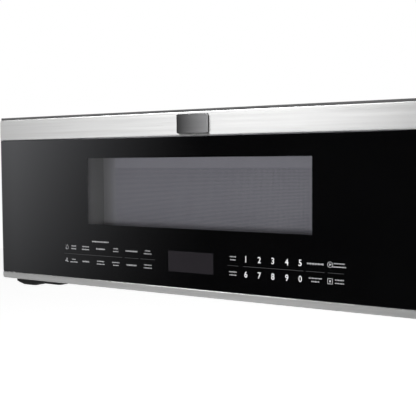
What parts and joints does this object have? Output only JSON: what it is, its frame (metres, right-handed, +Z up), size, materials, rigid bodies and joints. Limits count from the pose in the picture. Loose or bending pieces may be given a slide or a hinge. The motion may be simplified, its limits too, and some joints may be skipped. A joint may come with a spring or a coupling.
{
  "type": "over the range microwave",
  "caption": "Low-profile over-the-range microwave oven with extractor: full-width side-hinged glass door with steel trims, turntable, blower, grease filters and wall plate.",
  "frame": {"origin": "centre of the wall plate's back face, at half the cabinet's height", "axes": "+X to the right seen from the front, +Y into the wall, +Z up; the door faces -Y"},
  "size_m": [0.759, 0.468, 0.274],
  "materials": {
    "black_steel": "satin black powder coat",
    "galvanised_steel": "plain zinc-coated sheet",
    "brushed_steel": "fine horizontal brushing",
    "bright_steel": "bright plated",
    "grey_enamel": "baked grey enamel",
    "black_plastic": "fine moulded texture",
    "pale_plastic": "natural moulded",
    "badge": "dark gloss with a bright bevel",
    "black_glass": "printed black behind",
    "clear_glass": "pressed glass",
    "clear_plastic": "clear pane",
    "lamp_lens": "frosted lens",
    "screen_steel": "fine perforation, painted",
    "display": "dark display window",
    "circuit_board": "solder resist",
    "mica": "pressed mica sheet",
    "aluminium": "plain",
    "core_steel": "varnished laminations",
    "carbon": "activated carbon cells"
  },
  "bodies": {
    "cabinet": {"base_pan": "black_steel", "outer_wrap": "black_steel", "back_panel": "galvanised_steel", "wall_plate": "galvanised_steel", "front_frame": "black_steel", "cabinet_nuts": "galvanised_steel", "cord_bushing": "black_plastic", "back_screws": "bright_steel", "lower_hinge_bracket": "black_steel", "upper_hinge_bracket": "black_steel", "hinge_pins": "bright_steel", "hinge_screws": "bright_steel", "latch_board": "black_plastic", "door_switches": "black_plastic", "oven_cavity": "grey_enamel", "waveguide_cover": "mica", "waveguide": "galvanised_steel", "magnetron": "aluminium", "hv_transformer": "core_steel", "hv_capacitor": "aluminium", "cooling_fan_shroud": "black_plastic", "cooling_fan_motor": "core_steel", "turntable_motor": "galvanised_steel", "vent_grille": "black_plastic", "charcoal_filter": "carbon", "damper_frame": "galvanised_steel", "blower_housing": "galvanised_steel", "blower_motor": "core_steel", "hood_lamps": "black_plastic", "hood_lamp_lenses": "lamp_lens", "oven_lamp": "galvanised_steel", "power_board": "circuit_board"},
    "door": {"door_top_band": "brushed_steel", "door_bottom_trim": "brushed_steel", "badge_plate": "badge", "door_glass": "black_glass", "door_frame": "black_plastic", "door_rear_cover": "black_plastic", "choke_pan": "grey_enamel", "window_screen": "screen_steel", "inner_pane": "clear_plastic", "touch_board": "circuit_board", "display_module": "display", "hinge_bushes": "pale_plastic", "latch_spring": "bright_steel"},
    "latch": {"latch_lever": "pale_plastic"},
    "turntable": {"turntable_coupler": "pale_plastic", "glass_tray": "clear_glass"},
    "roller_ring": {"roller_ring": "pale_plastic"},
    "roller_1": {"roller_1": "pale_plastic"},
    "roller_2": {"roller_2": "pale_plastic"},
    "roller_3": {"roller_3": "pale_plastic"},
    "cooling_fan": {"cooling_fan": "black_plastic"},
    "blower_rotor": {"blower_wheels": "black_plastic"},
    "damper": {"damper_flap": "galvanised_steel"},
    "filter_left": {"grease_filter_left": "aluminium"},
    "filter_right": {"grease_filter_right": "aluminium"},
    "plunger_lower": {"switch_plunger_lower": "pale_plastic"},
    "plunger_upper": {"switch_plunger_upper": "pale_plastic"}
  },
  "joints": [
    {"name": "door_hinge", "type": "hinge", "parent": "cabinet", "child": "door", "pos_m": [-0.3675, -0.434, 0], "axis": [0, 0, -1], "range_deg": [0, 95]},
    {"name": "latch_lift", "type": "slide", "parent": "door", "child": "latch", "axis": [0, 0, 1], "range_m": [0, 0.004], "stiffness_N_per_m": 300, "springref_m": -0.001, "deforming": ["latch_spring"]},
    {"name": "turntable_spin", "type": "hinge", "parent": "cabinet", "child": "turntable", "pos_m": [0, -0.259, -0.0574], "axis": [0, 0, 1], "continuous": true},
    {"name": "roller_ring_spin", "type": "hinge", "parent": "cabinet", "child": "roller_ring", "pos_m": [0, -0.259, -0.0667], "axis": [0, 0, 1], "continuous": true},
    {"name": "cooling_fan_spin", "type": "hinge", "parent": "cabinet", "child": "cooling_fan", "pos_m": [0.316, -0.3075, 0.036], "axis": [0, 1, 0], "continuous": true},
    {"name": "blower_spin", "type": "hinge", "parent": "cabinet", "child": "blower_rotor", "pos_m": [0, -0.0505, 0.0036], "axis": [1, 0, 0], "continuous": true},
    {"name": "damper_hinge", "type": "hinge", "parent": "cabinet", "child": "damper", "pos_m": [0, -0.0131, 0.122], "axis": [-1, 0, 0], "range_deg": [0, 75]},
    {"name": "filter_left_tilt", "type": "hinge", "parent": "cabinet", "child": "filter_left", "pos_m": [-0.228, -0.1735, -0.128], "axis": [1, 0, 0], "range_deg": [0, 60]},
    {"name": "filter_right_tilt", "type": "hinge", "parent": "cabinet", "child": "filter_right", "pos_m": [0.228, -0.1735, -0.128], "axis": [1, 0, 0], "range_deg": [0, 60]},
    {"name": "plunger_lower_press", "type": "slide", "parent": "cabinet", "child": "plunger_lower", "axis": [0, 1, 0], "range_m": [0, 0.0025], "stiffness_N_per_m": 250, "springref_m": -0.001},
    {"name": "plunger_upper_press", "type": "slide", "parent": "cabinet", "child": "plunger_upper", "axis": [0, 1, 0], "range_m": [0, 0.0025], "stiffness_N_per_m": 250, "springref_m": -0.001},
    {"name": "roller_1_spin", "type": "hinge", "parent": "roller_ring", "child": "roller_1", "pos_m": [0, -0.1562, -0.0667], "axis": [0, 1, 0], "continuous": true},
    {"name": "roller_2_spin", "type": "hinge", "parent": "roller_ring", "child": "roller_2", "pos_m": [-0.08903, -0.3104, -0.0667], "axis": [-0.866, -0.5, 0], "continuous": true},
    {"name": "roller_3_spin", "type": "hinge", "parent": "roller_ring", "child": "roller_3", "pos_m": [0.08903, -0.3104, -0.0667], "axis": [0.866, -0.5, 0], "continuous": true}
  ],
  "couplings": [
    {"joint": "roller_ring_spin", "follows": "turntable_spin", "ratio": 0.5},
    {"joint": "roller_1_spin", "follows": "turntable_spin", "ratio": -5.7111},
    {"joint": "roller_2_spin", "follows": "turntable_spin", "ratio": -5.7111},
    {"joint": "roller_3_spin", "follows": "turntable_spin", "ratio": -5.7111}
  ]
}
